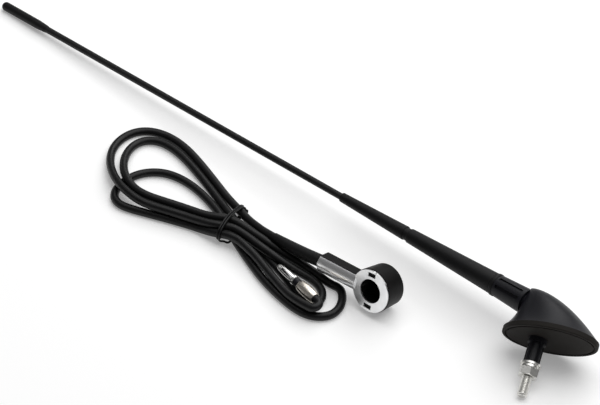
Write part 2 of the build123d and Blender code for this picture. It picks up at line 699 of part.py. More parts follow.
nodes = {name: LAID_DOWN * piece for name, piece in ANTENNA.items()}
nodes |= {name: FOOT * piece for name, piece in FOOT_PIECES.items()}

# The origin is on the floor under the middle of the antenna and the foot
boxes = [piece.bounding_box() for piece in nodes.values()]
middle_x = (min(box.min.X for box in boxes) + max(box.max.X for box in boxes)) / 2
middle_y = (min(box.min.Y for box in boxes) + max(box.max.Y for box in boxes)) / 2
CENTRED = Pos(-middle_x, -middle_y, 0)
nodes["cable_boot"] = cable_boot()
nodes["cable_lead"] = cable_lead()
nodes["cable_hank"] = cable_hank()
nodes["cable_tie"] = cable_tie()
nodes["cable_tail"] = cable_tail()
nodes |= {name: PLUG * piece for name, piece in PLUG_PIECES.items()}

os.makedirs("parts", exist_ok=True)
for name, piece in nodes.items():
    export_step(CENTRED * piece, f"parts/{name}.step")

seat = CENTRED * LAID_DOWN
print("seat centre", [round(value, 3) for value in seat.position])
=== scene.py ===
import json
import math

import bpy
from mathutils import Matrix, Vector


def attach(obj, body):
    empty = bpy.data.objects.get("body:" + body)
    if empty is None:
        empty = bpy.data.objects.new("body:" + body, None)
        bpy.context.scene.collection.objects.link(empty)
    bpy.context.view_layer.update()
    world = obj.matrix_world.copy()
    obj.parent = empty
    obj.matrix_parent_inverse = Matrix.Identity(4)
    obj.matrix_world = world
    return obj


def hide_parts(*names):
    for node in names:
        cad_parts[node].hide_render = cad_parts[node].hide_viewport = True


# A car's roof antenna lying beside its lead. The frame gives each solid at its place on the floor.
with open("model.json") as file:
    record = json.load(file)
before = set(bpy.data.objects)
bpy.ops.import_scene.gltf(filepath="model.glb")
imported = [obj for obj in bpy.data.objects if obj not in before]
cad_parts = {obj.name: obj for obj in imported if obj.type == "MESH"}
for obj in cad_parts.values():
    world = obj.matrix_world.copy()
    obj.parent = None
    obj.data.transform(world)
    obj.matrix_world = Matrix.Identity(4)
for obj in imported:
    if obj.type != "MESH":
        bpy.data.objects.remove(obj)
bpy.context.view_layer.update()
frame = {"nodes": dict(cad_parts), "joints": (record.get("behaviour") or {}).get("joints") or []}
nodes = frame["nodes"]
joints = {joint["name"]: joint for joint in frame["joints"]}


# Mast rod: a spring-steel wire inside an extruded skin of black polythene. The skin is drawn over the wire
# in one length, which leaves faint lines along it and a dull, slightly waxy face.
def linear(code):
    """A colour in linear light from its sRGB hex code."""
    shares = [int(code[place : place + 2], 16) / 255 for place in (1, 3, 5)]
    return (*[s / 12.92 if s <= 0.04045 else ((s + 0.055) / 1.055) ** 2.4 for s in shares], 1.0)


def add_node(material, kind, links=(), inputs=(), **settings):
    """Adds a node with its settings and input values, and links (input, node, output) into it."""
    made = material.node_tree.nodes.new(kind)
    for field, value in settings.items():
        setattr(made, field, value)
    for socket, value in inputs:
        made.inputs[socket].default_value = value
    for socket, source, output in links:
        material.node_tree.links.new(source.outputs[output], made.inputs[socket])
    return made


def start_material(name, sockets):
    """A new material and its shader, with the values that are the same all over it."""
    material = bpy.data.materials.new(name)
    material.use_nodes = True
    shader = material.node_tree.nodes["Principled BSDF"]
    for socket, value in sockets.items():
        shader.inputs[socket].default_value = value
    return material, shader


def finish_material(material, shader, wear, tones, roughness, texture, strength, depth):
    """Spreads two tones and two roughnesses by a pattern of wear, and raises a texture (node, output)."""
    # The colours of a Mix node share their names with its numbers, so they go by their place in it.
    tone = add_node(
        material,
        "ShaderNodeMix",
        [("Factor", wear, "Fac")],
        [(6, linear(tones[0])), (7, linear(tones[1]))],
        data_type="RGBA",
    )
    sheen = add_node(
        material,
        "ShaderNodeMapRange",
        [("Value", wear, "Fac")],
        [("To Min", roughness[0]), ("To Max", roughness[1])],
    )
    relief = add_node(
        material, "ShaderNodeBump", [("Height", *texture)], [("Strength", strength), ("Distance", depth)]
    )
    ends = [("Base Color", tone, 2), ("Roughness", sheen, "Result"), ("Normal", relief, "Normal")]
    for socket, source, output in ends:
        material.node_tree.links.new(source.outputs[output], shader.inputs[socket])


def dress(material, *names):
    """Gives the named solids one material."""
    for name in names:
        slots = nodes[name].data.materials
        slots.clear()
        slots.append(material)


# Polythene: waxy grey-black, with draw lines 0.4 mm apart along the mast and scuffs of about 4 mm.
polythene, shader = start_material("polythene_skin", {"IOR": 1.51, "Specular IOR Level": 0.28})
spot = add_node(polythene, "ShaderNodeTexCoord")
drawn = add_node(
    polythene,
    "ShaderNodeMapping",
    [("Vector", spot, "Object")],
    [("Scale", (1 / 0.04, 1 / 0.0004, 1 / 0.0004))],
)
lines = add_node(
    polythene, "ShaderNodeTexNoise", [("Vector", drawn, "Vector")], [("Scale", 1.0), ("Detail", 3.0)]
)
scuffs = add_node(
    polythene, "ShaderNodeTexNoise", [("Vector", spot, "Object")], [("Scale", 1 / 0.004), ("Detail", 4.0)]
)
finish_material(
    polythene,
    shader,
    scuffs,
    tones=("#0c0c0d", "#1b1b1c"),
    roughness=(0.42, 0.62),
    texture=(lines, "Fac"),
    strength=0.4,
    depth=0.0001,
)
dress(polythene, "rod_sleeve")

# Tip cap, upper sleeve, grip and seal: moulded black rubber. The cap and the sleeves are moulded over the rod
# and its ferrule, and the seal is a loose ring that the grip presses on the stem.
# Rubber: deep black under a faint grey bloom, matt, with its mould's orange peel of about 0.6 mm.
rubber, shader = start_material("moulded_rubber", {"IOR": 1.52, "Specular IOR Level": 0.22})
spot = add_node(rubber, "ShaderNodeTexCoord")
bloom = add_node(
    rubber, "ShaderNodeTexNoise", [("Vector", spot, "Object")], [("Scale", 1 / 0.012), ("Detail", 5.0)]
)
peel = add_node(
    rubber, "ShaderNodeTexNoise", [("Vector", spot, "Object")], [("Scale", 1 / 0.0006), ("Detail", 2.0)]
)
finish_material(
    rubber,
    shader,
    bloom,
    tones=("#080809", "#121213"),
    roughness=(0.46, 0.62),
    texture=(peel, "Fac"),
    strength=0.35,
    depth=0.0001,
)
dress(rubber, "tip_cap", "upper_sleeve", "grip", "mast_seal")

# Mast ferrule: a brass turning inside the grip. Its screw, M5 with a pitch of 0.8 mm, stands out of the seal
# and holds the mast in the brass socket of the stem, from which a strap goes to the stud.
SCREW_RADIUS = 0.0025
SCREW_PITCH = 0.0008
SCREW_TIP = 0.0116
SCREW_SHOULDER = 0.0228
FERRULE_RADIUS = 0.0033
FERRULE_FACE = 0.0231
FERRULE_STEP = 0.0811
CRIMP_RADIUS = 0.0026
CRIMP_END = 0.1151
THREAD_DEPTH = 0.61  # share of the pitch, as a metric thread is cut
THREAD_STEPS = 36
LATHE_STEPS = 48
SEAM = 1e-6  # points that are nearer than this are one point
ROUND_BELOW = math.radians(32)  # an edge that bends by less is shaded as round


def draw_line(name, corners):
    """A new object with one line of edges through (x, z) corners."""
    bpy.ops.object.select_all(action="DESELECT")
    bpy.ops.mesh.primitive_plane_add()
    line = bpy.context.object
    line.name = line.data.name = name
    bpy.ops.object.mode_set(mode="EDIT")
    bpy.ops.mesh.merge(type="CENTER")
    bpy.ops.transform.translate(value=(corners[0][0], 0, corners[0][1]))
    for start, end in zip(corners, corners[1:]):
        step = (end[0] - start[0], 0, end[1] - start[1])
        bpy.ops.mesh.extrude_vertices_move(TRANSFORM_OT_translate={"value": step})
    bpy.ops.mesh.select_all(action="SELECT")
    return line


def close_up(piece):
    """Merges the seams of the piece in edit mode, turns its faces outwards and leaves edit mode."""
    bpy.ops.mesh.select_all(action="SELECT")
    bpy.ops.mesh.remove_doubles(threshold=SEAM)
    bpy.ops.mesh.normals_make_consistent(inside=False)
    bpy.ops.object.mode_set(mode="OBJECT")
    return piece


def turn_on_lathe(name, half_section):
    """A piece turned about Z from the (radius, height) corners of its half section."""
    piece = draw_line(name, half_section)
    bpy.ops.mesh.spin(steps=LATHE_STEPS, angle=2 * math.pi, center=(0, 0, 0), axis=(0, 0, 1))
    return close_up(piece)


def cut_thread(name, crest, pitch, low, high):
    """A right-hand thread about Z between two heights: one tooth, screwed up the axis and cut square."""
    root = crest - THREAD_DEPTH * pitch
    foot = low - pitch
    # The tooth's crest is flat over an eighth of the pitch.
    tooth = [(root, foot), (crest, foot + 7 * pitch / 16), (crest, foot + 9 * pitch / 16), (root, low)]
    piece = draw_line(name, tooth)
    bpy.ops.object.mode_set(mode="OBJECT")
    screw = piece.modifiers.new("screw", "SCREW")
    screw.screw_offset = pitch
    screw.iterations = math.ceil((high - low) / pitch) + 2
    screw.steps = screw.render_steps = THREAD_STEPS
    bpy.ops.object.modifier_apply(modifier="screw")
    bpy.ops.object.mode_set(mode="EDIT")
    bpy.ops.mesh.select_all(action="SELECT")
    bpy.ops.mesh.remove_doubles(threshold=SEAM)
    bpy.ops.mesh.bisect(plane_co=(0, 0, low), plane_no=(0, 0, 1), use_fill=True, clear_inner=True)
    bpy.ops.mesh.select_all(action="SELECT")
    bpy.ops.mesh.bisect(plane_co=(0, 0, high), plane_no=(0, 0, 1), use_fill=True, clear_outer=True)
    return close_up(piece)


def turn_down(piece, end, length, radius):
    """Turns the thread's end down to a radius, over a length from its end."""
    for point in piece.data.vertices:
        share = 1 - abs(point.co.z - end) / length
        across = math.hypot(point.co.x, point.co.y)
        crest = radius + (1 - share) * length
        if share > 0 and across > crest:
            point.co.x *= crest / across
            point.co.y *= crest / across


def pick(piece):
    """Selects one piece alone and makes it the active one."""
    bpy.ops.object.select_all(action="DESELECT")
    piece.select_set(True)
    bpy.context.view_layer.objects.active = piece


def join_pieces(piece, other):
    """Joins another object into a piece and smooths its round faces."""
    pick(piece)
    other.select_set(True)
    bpy.ops.object.join()
    bpy.ops.object.shade_smooth_by_angle(angle=ROUND_BELOW)


def put_on_axis(piece, place, axis):
    """Moves a piece made about Z to a place and an axis, and leaves the move in its mesh."""
    turn = Vector((0, 0, 1)).rotation_difference(Vector(axis))
    piece.matrix_world = Matrix.Translation(place) @ turn.to_matrix().to_4x4()
    pick(piece)
    bpy.ops.object.transform_apply(location=True, rotation=True, scale=True)


mast_screw = cut_thread("mast_screw", SCREW_RADIUS, SCREW_PITCH, SCREW_TIP, SCREW_SHOULDER)
turn_down(mast_screw, SCREW_TIP, length=0.0006, radius=0.0019)
ferrule = turn_on_lathe(
    "ferrule",
    [
        (0, SCREW_SHOULDER),
        (FERRULE_RADIUS, FERRULE_FACE),
        (FERRULE_RADIUS, FERRULE_STEP),
        (CRIMP_RADIUS, FERRULE_STEP),
        (CRIMP_RADIUS, CRIMP_END),
        (0, CRIMP_END),
    ],
)
join_pieces(mast_screw, ferrule)
put_on_axis(mast_screw, joints["mast_turn"]["pos_m"], joints["mast_turn"]["axis"])

# Brass: yellow metal from the lathe, with turning marks of 0.2 mm and brown tarnish in patches of 3 mm.
brass, shader = start_material("turned_brass", {"Metallic": 1.0})
spot = add_node(brass, "ShaderNodeTexCoord")
tarnish = add_node(
    brass, "ShaderNodeTexNoise", [("Vector", spot, "Object")], [("Scale", 1 / 0.003), ("Detail", 5.0)]
)
marks = add_node(
    brass, "ShaderNodeTexNoise", [("Vector", spot, "Object")], [("Scale", 1 / 0.0002), ("Detail", 2.0)]
)
finish_material(
    brass,
    shader,
    tarnish,
    tones=("#cfa85e", "#96713a"),
    roughness=(0.2, 0.42),
    texture=(marks, "Fac"),
    strength=0.25,
    depth=0.00005,
)
dress(brass, "mast_ferrule", "mast_socket", "contact_strap")
mast_screw.data.materials.append(brass)
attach(mast_screw, "mast")
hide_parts("mast_ferrule")

# Stem, housing and base plate: black ABS, injection moulded. The stem plugs into the raked face of the
# housing, and the base plate closes it from below and carries the spigot that goes through the roof.
# ABS: black with a satin, spark-eroded grain of about 0.5 mm, rubbed smoother in patches by handling.
abs_plastic, shader = start_material("moulded_abs", {"IOR": 1.54, "Specular IOR Level": 0.2})
spot = add_node(abs_plastic, "ShaderNodeTexCoord")
handling = add_node(
    abs_plastic, "ShaderNodeTexNoise", [("Vector", spot, "Object")], [("Scale", 1 / 0.014), ("Detail", 4.0)]
)
grain = add_node(
    abs_plastic, "ShaderNodeTexNoise", [("Vector", spot, "Object")], [("Scale", 1 / 0.0005), ("Detail", 3.0)]
)
finish_material(
    abs_plastic,
    shader,
    handling,
    tones=("#121216", "#1a1a20"),
    roughness=(0.36, 0.5),
    texture=(grain, "Fac"),
    strength=0.3,
    depth=0.0001,
)
dress(abs_plastic, "stem", "housing", "base_plate")

# Gasket: a pad of cellular black rubber, die-cut to the housing's outline. The nut's pull presses it between
# the housing and the roof, where it keeps water out of the hole.
# Cellular rubber: dead matt, with closed cells of about 0.6 mm that show as a fine pitting.
cellular, shader = start_material("cellular_rubber", {"IOR": 1.5, "Specular IOR Level": 0.18})
spot = add_node(cellular, "ShaderNodeTexCoord")
cells = add_node(cellular, "ShaderNodeTexVoronoi", [("Vector", spot, "Object")], [("Scale", 1 / 0.0006)])
dust = add_node(
    cellular, "ShaderNodeTexNoise", [("Vector", spot, "Object")], [("Scale", 1 / 0.008), ("Detail", 4.0)]
)
finish_material(
    cellular,
    shader,
    dust,
    tones=("#1a1816", "#262320"),
    roughness=(0.6, 0.8),
    texture=(cells, "Distance"),
    strength=0.3,
    depth=0.0001,
)
dress(cellular, "gasket")

# Clamp stud, washers and nut: zinc-plated steel. The stud is rolled with an M6 thread of 1 mm pitch, its head
# sits in the housing on the strap, and the nut pulls the roof against the gasket. The mast's wire is plated
# in the same way.
STUD_RADIUS = 0.003
STUD_PITCH = 0.001
STUD_THREAD_START = 0.012
STUD_END = 0.0352
SHANK_RADIUS = 0.0029
SHANK_TOP = 0.0121
HEAD_RADIUS = 0.0048
HEAD_FACE = -0.0081
HEAD_BACK = -0.0107
stud = cut_thread("clamp_stud", STUD_RADIUS, STUD_PITCH, STUD_THREAD_START, STUD_END)
turn_down(stud, STUD_END, length=0.0008, radius=0.0022)
shank = turn_on_lathe(
    "shank",
    [
        (0, SHANK_TOP),
        (SHANK_RADIUS, SHANK_TOP),
        (SHANK_RADIUS, HEAD_FACE),
        (HEAD_RADIUS, HEAD_FACE),
        (HEAD_RADIUS, HEAD_BACK),
        (0, HEAD_BACK),
    ],
)
join_pieces(stud, shank)
put_on_axis(stud, joints["nut_turn"]["pos_m"], joints["nut_turn"]["axis"])

# Zinc plate: pale, slightly warm metal, clouded by its passivation in patches of 2 mm, with a grit of 0.3 mm.
zinc, shader = start_material("zinc_plate", {"Metallic": 1.0})
spot = add_node(zinc, "ShaderNodeTexCoord")
cloud = add_node(
    zinc, "ShaderNodeTexNoise", [("Vector", spot, "Object")], [("Scale", 1 / 0.002), ("Detail", 5.0)]
)
grit = add_node(
    zinc, "ShaderNodeTexNoise", [("Vector", spot, "Object")], [("Scale", 1 / 0.0003), ("Detail", 2.0)]
)
finish_material(
    zinc,
    shader,
    cloud,
    tones=("#f0efec", "#d2d1cc"),
    roughness=(0.22, 0.42),
    texture=(grit, "Fac"),
    strength=0.2,
    depth=0.00005,
)
dress(zinc, "stud", "flat_washer", "spring_washer", "hex_nut", "mast_core")
stud.data.materials.append(zinc)
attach(stud, "base")
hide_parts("stud")

# Contact plate of the lead's foot: a ring and a strip, pressed from tinned steel. The ring is staked on the
# face of the drum, where it bites the roof's bare metal, and the strip folds over the cable's braid.
FOOT_TILT = math.radians(16)
FOOT_AXIS = Vector((0, -math.cos(FOOT_TILT), math.sin(FOOT_TILT)))
ARM_SAG = math.radians(4.5)
FOOT_ROUND_BELOW = math.radians(20)
# The lead's places are measured from the point of the floor below the seat of the stud.
ground = Vector((*joints["nut_turn"]["pos_m"][:2], 0))
drum = Matrix.Translation(ground + Vector((-0.0947, -0.0342, 0.0161)))


def settle_foot(node, name):
    """A smoothed copy of a piece of the foot, turned on the drum as far as the cable pulls the arm down."""
    piece = bpy.data.objects.new(name, nodes[node].data.copy())
    piece.data.name = name
    bpy.context.scene.collection.objects.link(piece)
    piece.matrix_world = drum @ Matrix.Rotation(ARM_SAG, 4, FOOT_AXIS) @ drum.inverted()
    pick(piece)
    bpy.ops.object.transform_apply(location=True, rotation=True, scale=True)
    bpy.ops.object.mode_set(mode="EDIT")
    bpy.ops.mesh.select_all(action="SELECT")
    bpy.ops.mesh.remove_doubles(threshold=SEAM)
    bpy.ops.object.mode_set(mode="OBJECT")
    bpy.ops.object.shade_smooth_by_angle(angle=FOOT_ROUND_BELOW)
    weigh = piece.modifiers.new("weigh", "WEIGHTED_NORMAL")
    weigh.keep_sharp = True
    bpy.ops.object.modifier_apply(modifier="weigh")
    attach(piece, "base")
    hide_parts(node)
    return piece


# Tin plate: white and bright, with rolling lines 0.4 mm apart along the strip and a soft handling haze.
tin, shader = start_material("tin_plate", {"Metallic": 1.0})
spot = add_node(tin, "ShaderNodeTexCoord")
haze = add_node(
    tin, "ShaderNodeTexNoise", [("Vector", spot, "Object")], [("Scale", 1 / 0.005), ("Detail", 5.0)]
)
rolled = add_node(
    tin, "ShaderNodeMapping", [("Vector", spot, "Object")], [("Scale", (1 / 0.01, 1 / 0.0004, 1 / 0.0004))]
)
lines = add_node(
    tin, "ShaderNodeTexNoise", [("Vector", rolled, "Vector")], [("Scale", 1.0), ("Detail", 2.0)]
)
finish_material(
    tin,
    shader,
    haze,
    tones=("#fafafa", "#e2e3e4"),
    roughness=(0.24, 0.4),
    texture=(lines, "Fac"),
    strength=0.15,
    depth=0.00005,
)
dress(tin, "contact_plate")
plate = settle_foot("contact_plate", "foot_plate")

# Foot: a drum and an arm, moulded in one piece round the end of the cable. The drum takes the spigot from
# below the roof, and the nut pulls it up with its ring against the metal.
# Moulding: the same plastic as the housing, but duller, with its colour painted deeper black than the
# housing's as shade, and a grain of about 0.8 mm.
dull_shaded_abs, shader = start_material("moulded_abs_dull_painted_shade", {"IOR": 1.54, "Specular IOR Level": 0.12})
spot = add_node(dull_shaded_abs, "ShaderNodeTexCoord")
handling = add_node(
    dull_shaded_abs, "ShaderNodeTexNoise", [("Vector", spot, "Object")], [("Scale", 1 / 0.01), ("Detail", 4.0)]
)
grain = add_node(
    dull_shaded_abs, "ShaderNodeTexNoise", [("Vector", spot, "Object")], [("Scale", 1 / 0.0008), ("Detail", 3.0)]
)
finish_material(
    dull_shaded_abs,
    shader,
    handling,
    tones=("#070707", "#0f0e0e"),
    roughness=(0.4, 0.55),
    texture=(grain, "Fac"),
    strength=0.3,
    depth=0.0001,
)
dress(dull_shaded_abs, "foot_body")
moulding = settle_foot("foot_body", "foot_moulding")

# Foot contact: a spring brass disc, pressed into the bottom of the drum's bore, where it joins the stud to
# the core of the cable. Its colour is painted brown-black as the shade deep in the bore.
# Brass with painted shade: brown-black and dull, a little brighter in rubs of about 3 mm.
bore_shade_brass, shader = start_material("brass_painted_bore_shade", {"Metallic": 1.0})
spot = add_node(bore_shade_brass, "ShaderNodeTexCoord")
rubs = add_node(
    bore_shade_brass, "ShaderNodeTexNoise", [("Vector", spot, "Object")], [("Scale", 1 / 0.003), ("Detail", 4.0)]
)
finish_material(
    bore_shade_brass,
    shader,
    rubs,
    tones=("#0e0c0b", "#221d19"),
    roughness=(0.45, 0.65),
    texture=(rubs, "Fac"),
    strength=0.2,
    depth=0.00005,
)
dress(bore_shade_brass, "foot_contact")

# Plug pin: the centre contact of the lead's aerial plug, turned from brass and chromed. It is split along its
# middle and bowed a little, so that it springs in the radio's socket.
PLUG_TURN = math.radians(-10)
plug_axis = Vector((math.cos(PLUG_TURN), math.sin(PLUG_TURN), 0))
plug_tip = ground + Vector((-0.1568, -0.0472, 0.0085))
BUSH_FACE = 0.0205
BUSH_END = 0.0302
PIN_TAIL_RADIUS = 0.0009
SLIT_START = 0.006
SLIT_WIDTH = 0.0014
SLIT_LENGTH = 0.012
SLIT_TURN = math.radians(-66)
SAW_DEPTH = 0.01
pin = turn_on_lathe(
    "split_pin",
    [
        (0, 0.0040), (0.0009, 0.0042), (0.0015, 0.0048), (0.0018, 0.0060), (0.0022, 0.0100),
        (0.0023, 0.0140), (0.0022, 0.0170), (0.0021, 0.0190), (0.0030, 0.0190), (0.0030, 0.0202),
        (0.0027, BUSH_FACE), (PIN_TAIL_RADIUS, BUSH_FACE), (PIN_TAIL_RADIUS, BUSH_END), (0, BUSH_END),
    ],
)
bpy.ops.object.select_all(action="DESELECT")
bpy.ops.mesh.primitive_cube_add(
    size=1,
    location=(0, 0, SLIT_START + SLIT_LENGTH / 2),
    rotation=(0, 0, SLIT_TURN),
    scale=(SLIT_WIDTH, SAW_DEPTH, SLIT_LENGTH),
)
saw = bpy.context.object
pick(pin)
slit = pin.modifiers.new("slit", "BOOLEAN")
slit.object = saw
slit.operation = "DIFFERENCE"
bpy.ops.object.modifier_apply(modifier="slit")
bpy.data.objects.remove(saw)
bpy.ops.object.shade_smooth_by_angle(angle=ROUND_BELOW)
put_on_axis(pin, plug_tip, plug_axis)

# Chrome: bright over the turned pin, with soft rubs of about 3 mm from going in and out of its socket.
chrome, shader = start_material("bright_chrome", {"Metallic": 1.0})
spot = add_node(chrome, "ShaderNodeTexCoord")
rubs = add_node(
    chrome, "ShaderNodeTexNoise", [("Vector", spot, "Object")], [("Scale", 1 / 0.003), ("Detail", 4.0)]
)
marks = add_node(
    chrome, "ShaderNodeTexNoise", [("Vector", spot, "Object")], [("Scale", 1 / 0.0003), ("Detail", 2.0)]
)
finish_material(
    chrome,
    shader,
    rubs,
    tones=("#f6f6f5", "#d9d8d4"),
    roughness=(0.2, 0.32),
    texture=(marks, "Fac"),
    strength=0.1,
    depth=0.00005,
)
dress(chrome, "plug_pin")
pin.data.materials.append(chrome)
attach(pin, "base")
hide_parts("plug_pin")

# Plug bush: a sleeve of black ABS on the tail of the pin. It is pushed into the barrel and keeps the pin
# off it, and its thinner nose shows between the two.
BARREL_FACE = 0.0245
bush = turn_on_lathe(
    "plug_bush",
    [
        (PIN_TAIL_RADIUS, BUSH_FACE), (0.0023, BUSH_FACE), (0.0025, 0.0207), (0.0025, BARREL_FACE),
        (0.0027, BARREL_FACE), (0.0027, BUSH_END), (PIN_TAIL_RADIUS, BUSH_END), (PIN_TAIL_RADIUS, BUSH_FACE),
    ],
)
bpy.ops.object.shade_smooth_by_angle(angle=ROUND_BELOW)
put_on_axis(bush, plug_tip, plug_axis)
dress(abs_plastic, "plug_insulator")
bush.data.materials.append(abs_plastic)
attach(bush, "base")
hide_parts("plug_insulator")

# Plug barrel: the plug's outer contact, drawn from nickel-plated brass, swelling in the middle and crimped on
# the cable. A sleeve of soft black rubber is pushed over the cable behind it as a seal.
BARREL_BORE = 0.0028
BARREL_END = 0.0385
barrel = turn_on_lathe(
    "plug_barrel",
    [
        (BARREL_BORE, BARREL_FACE), (0.0030, BARREL_FACE), (0.0033, 0.0249), (0.0036, 0.0262),
        (0.0038, 0.0295), (0.0038, 0.0335), (0.0036, 0.0366), (0.0033, 0.0381), (0.0030, BARREL_END),
        (BARREL_BORE, BARREL_END), (BARREL_BORE, BARREL_FACE),
    ],
)
bpy.ops.object.shade_smooth_by_angle(angle=ROUND_BELOW)
put_on_axis(barrel, plug_tip, plug_axis)

# Nickel: warm grey, drawn along the barrel, which leaves lengthwise streaks about 0.5 mm apart.
nickel, shader = start_material("drawn_nickel", {"Metallic": 1.0})
spot = add_node(nickel, "ShaderNodeTexCoord")
drawn = add_node(
    nickel,
    "ShaderNodeMapping",
    [("Vector", spot, "Object")],
    [("Rotation", (0, 0, -PLUG_TURN)), ("Scale", (1 / 0.02, 1 / 0.0005, 1 / 0.0005))],
)
streaks = add_node(
    nickel, "ShaderNodeTexNoise", [("Vector", drawn, "Vector")], [("Scale", 1.0), ("Detail", 3.0)]
)
finish_material(
    nickel,
    shader,
    streaks,
    tones=("#f7f2ea", "#c4bbae"),
    roughness=(0.16, 0.4),
    texture=(streaks, "Fac"),
    strength=0.3,
    depth=0.00008,
)
dress(nickel, "plug_shell")
barrel.data.materials.append(nickel)
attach(barrel, "base")
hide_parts("plug_shell")
dress(rubber, "plug_seal")

# Cable: one length of coaxial cable with an extruded black PVC sheath, from the foot to the plug. It is
# folded into a figure of eight, three turns to the left and two to the right, and doubles back to the plug.
CABLE_DIAMETER = 0.005
CABLE_ROUTE = [
    (-0.1643, -0.0327, 0.0096), (-0.1775, -0.0318, 0.0074), (-0.1863, -0.0303, 0.0060),
    (-0.1943, -0.0285, 0.0046), (-0.2022, -0.0261, 0.0040), (-0.2111, -0.0235, 0.0032),
    (-0.2204, -0.0205, 0.0024), (-0.2325, -0.0163, 0.0024), (-0.2446, -0.0122, 0.0024),
    (-0.2562, -0.0086, 0.0024), (-0.2669, -0.0060, 0.0024), (-0.2770, -0.0051, 0.0024),
    (-0.2865, -0.0064, 0.0024), (-0.2945, -0.0102, 0.0024), (-0.2997, -0.0168, 0.0024),
    (-0.3013, -0.0263, 0.0024), (-0.2983, -0.0366, 0.0026), (-0.2908, -0.0462, 0.0038),
    (-0.2803, -0.0542, 0.0059), (-0.2695, -0.0594, 0.0076), (-0.2597, -0.0614, 0.0077),
    (-0.2504, -0.0618, 0.0075), (-0.2417, -0.0598, 0.0073), (-0.2327, -0.0565, 0.0072),
    (-0.2234, -0.0535, 0.0072), (-0.2139, -0.0508, 0.0075), (-0.2060, -0.0483, 0.0079),
    (-0.1995, -0.0450, 0.0082), (-0.1936, -0.0419, 0.0081), (-0.1845, -0.0415, 0.0077),
    (-0.1745, -0.0421, 0.0073), (-0.1648, -0.0421, 0.0065), (-0.1547, -0.0416, 0.0052),
    (-0.1451, -0.0402, 0.0037), (-0.1368, -0.0388, 0.0026), (-0.1290, -0.0396, 0.0025),
    (-0.1225, -0.0431, 0.0025), (-0.1191, -0.0494, 0.0025), (-0.1208, -0.0543, 0.0025),
    (-0.1265, -0.0551, 0.0025), (-0.1357, -0.0523, 0.0025), (-0.1481, -0.0477, 0.0025),
    (-0.1600, -0.0444, 0.0025), (-0.1718, -0.0420, 0.0025), (-0.1844, -0.0391, 0.0026),
    (-0.1963, -0.0349, 0.0034), (-0.2059, -0.0315, 0.0035), (-0.2159, -0.0278, 0.0027),
    (-0.2272, -0.0236, 0.0024), (-0.2392, -0.0195, 0.0024), (-0.2509, -0.0158, 0.0024),
    (-0.2621, -0.0128, 0.0024), (-0.2726, -0.0113, 0.0024), (-0.2825, -0.0122, 0.0024),
    (-0.2895, -0.0170, 0.0024), (-0.2915, -0.0252, 0.0028), (-0.2875, -0.0361, 0.0046),
    (-0.2796, -0.0462, 0.0066), (-0.2699, -0.0532, 0.0076), (-0.2598, -0.0564, 0.0076),
    (-0.2504, -0.0558, 0.0076), (-0.2416, -0.0532, 0.0076), (-0.2323, -0.0502, 0.0076),
    (-0.2229, -0.0474, 0.0076), (-0.2137, -0.0452, 0.0079), (-0.2070, -0.0421, 0.0084),
    (-0.2010, -0.0383, 0.0085), (-0.1935, -0.0369, 0.0082), (-0.1850, -0.0368, 0.0074),
    (-0.1759, -0.0363, 0.0066), (-0.1671, -0.0357, 0.0054), (-0.1562, -0.0350, 0.0042),
    (-0.1451, -0.0338, 0.0034), (-0.1356, -0.0335, 0.0026), (-0.1259, -0.0346, 0.0025),
    (-0.1179, -0.0331, 0.0025), (-0.1118, -0.0381, 0.0024), (-0.1075, -0.0454, 0.0024),
    (-0.1071, -0.0528, 0.0024), (-0.1110, -0.0586, 0.0024), (-0.1177, -0.0622, 0.0024),
    (-0.1262, -0.0630, 0.0024), (-0.1356, -0.0620, 0.0024), (-0.1460, -0.0601, 0.0024),
    (-0.1572, -0.0572, 0.0024), (-0.1690, -0.0530, 0.0024), (-0.1801, -0.0487, 0.0024),
    (-0.1904, -0.0446, 0.0028), (-0.1998, -0.0405, 0.0035), (-0.2099, -0.0358, 0.0034),
    (-0.2213, -0.0315, 0.0026), (-0.2320, -0.0287, 0.0024), (-0.2422, -0.0274, 0.0024),
    (-0.2517, -0.0278, 0.0024), (-0.2601, -0.0301, 0.0024), (-0.2669, -0.0350, 0.0024),
    (-0.2716, -0.0420, 0.0024), (-0.2733, -0.0508, 0.0024), (-0.2720, -0.0598, 0.0024),
    (-0.2678, -0.0660, 0.0024), (-0.2612, -0.0682, 0.0024), (-0.2539, -0.0666, 0.0024),
    (-0.2457, -0.0634, 0.0024), (-0.2363, -0.0597, 0.0024), (-0.2274, -0.0563, 0.0024),
    (-0.2183, -0.0531, 0.0024), (-0.2096, -0.0513, 0.0032), (-0.2013, -0.0507, 0.0054),
    (-0.1938, -0.0485, 0.0073), (-0.1865, -0.0469, 0.0076), (-0.1772, -0.0483, 0.0075),
    (-0.1670, -0.0503, 0.0070), (-0.1550, -0.0542, 0.0067), (-0.1428, -0.0579, 0.0067),
    (-0.1316, -0.0608, 0.0069), (-0.1163, -0.0611, 0.0082), (-0.1140, -0.0595, 0.0085),
    (-0.1135, -0.0568, 0.0086), (-0.1151, -0.0545, 0.0086), (-0.1174, -0.0542, 0.0085),
]


def lay_round(name, route, diameter):
    """A round cord on one smooth open spline, which its route's points pull into shape."""
    curve = bpy.data.curves.new(name, "CURVE")
    curve.dimensions = "3D"
    curve.bevel_depth = diameter / 2
    curve.bevel_resolution = 6
    curve.resolution_u = 8
    curve.use_fill_caps = True
    spline = curve.splines.new("NURBS")
    spline.points.add(len(route) - 1)
    for point, corner in zip(spline.points, route):
        point.co = (*(ground + Vector(corner)), 1.0)
    spline.order_u = 3
    spline.use_endpoint_u = True
    cord = bpy.data.objects.new(name, curve)
    bpy.context.scene.collection.objects.link(cord)
    return cord


cable = lay_round("lead_cable", CABLE_ROUTE, CABLE_DIAMETER)

